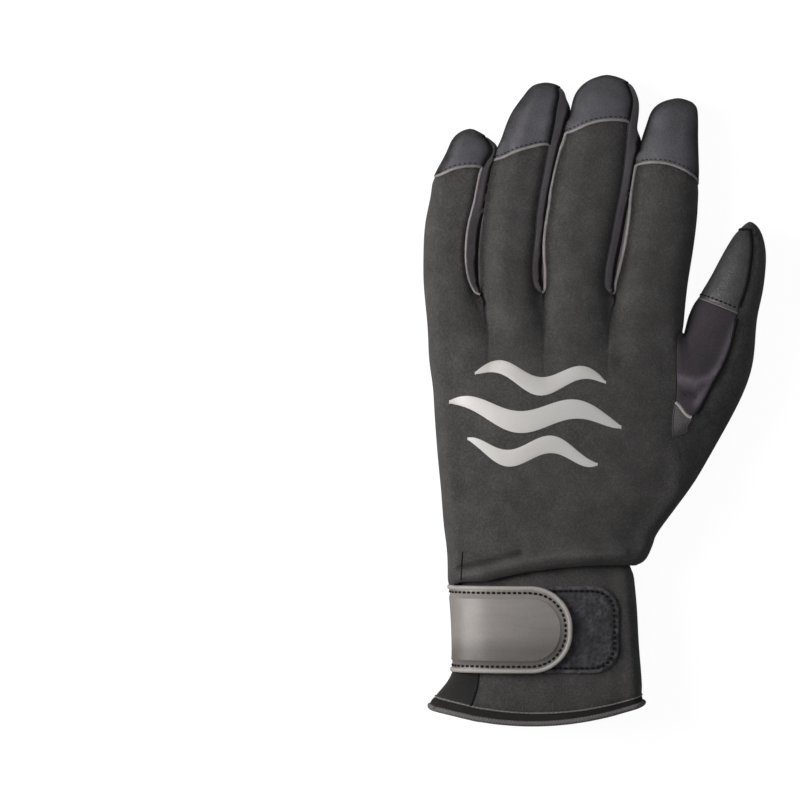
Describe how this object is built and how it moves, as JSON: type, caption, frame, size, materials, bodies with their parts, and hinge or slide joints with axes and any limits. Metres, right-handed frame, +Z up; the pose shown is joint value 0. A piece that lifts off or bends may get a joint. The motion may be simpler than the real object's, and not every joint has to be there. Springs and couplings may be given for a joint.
{
  "type": "diving glove",
  "caption": "Left-hand neoprene diving glove with leather palm, fingertip caps, gussets, wrist strap and a hinged D-ring under the cuff.",
  "frame": {"origin": "on the surface that the glove lies on, under the middle of its outline", "axes": "+Y to the fingertips, +X to the thumb, +Z up through the back of the hand"},
  "size_m": [0.1316, 0.2506, 0.0318],
  "materials": {
    "neoprene": "charcoal neoprene with a fine matt knit face",
    "gusset_fabric": "thin purple-grey stretch fabric, matt",
    "palm_leather": "grey satin synthetic leather with a fine grain",
    "pad_leather": "grey synthetic leather pads, satin, slightly darker than the palm",
    "cap_leather": "blue-grey synthetic suede leather, soft sheen",
    "strap_leather": "light grey satin synthetic leather",
    "rim_tape": "pale grey raised edge binding",
    "loop_pile": "dark blue-grey hook-and-loop pile, fuzzy",
    "binding_tape": "black woven binding tape with pale stitches",
    "ring_plastic": "smooth black plastic-coated ring"
  },
  "bodies": {
    "glove": {"back_panel": "neoprene", "cuff_back": "neoprene", "wrist_gusset": "gusset_fabric", "cuff_underside": "gusset_fabric", "palm_panel": "palm_leather", "hem_binding": "binding_tape", "thumb_insert": "gusset_fabric", "thumb_tip_pad": "pad_leather", "thumb_base_patch": "palm_leather", "tip_cap_little": "cap_leather", "tip_pad_little": "pad_leather", "finger_insert_little": "gusset_fabric", "tip_cap_ring": "cap_leather", "tip_pad_ring": "pad_leather", "finger_insert_ring": "gusset_fabric", "tip_cap_middle": "cap_leather", "tip_pad_middle": "pad_leather", "finger_insert_middle": "gusset_fabric", "tip_cap_index": "cap_leather", "tip_pad_index": "pad_leather", "finger_insert_index": "gusset_fabric", "gusset_little_ring": "gusset_fabric", "gusset_ring_middle": "gusset_fabric", "gusset_middle_index": "gusset_fabric", "loop_patch": "loop_pile", "wrist_strap": "strap_leather", "strap_rim": "rim_tape", "ring_tab": "binding_tape"},
    "ring": {"d_ring": "ring_plastic"}
  },
  "joints": [
    {"name": "ring_hinge", "type": "hinge", "parent": "glove", "child": "ring", "pos_m": [-0.041, -0.1194, 0.0038], "axis": [-1, 0, 0], "range_deg": [0, 165]}
  ]
}
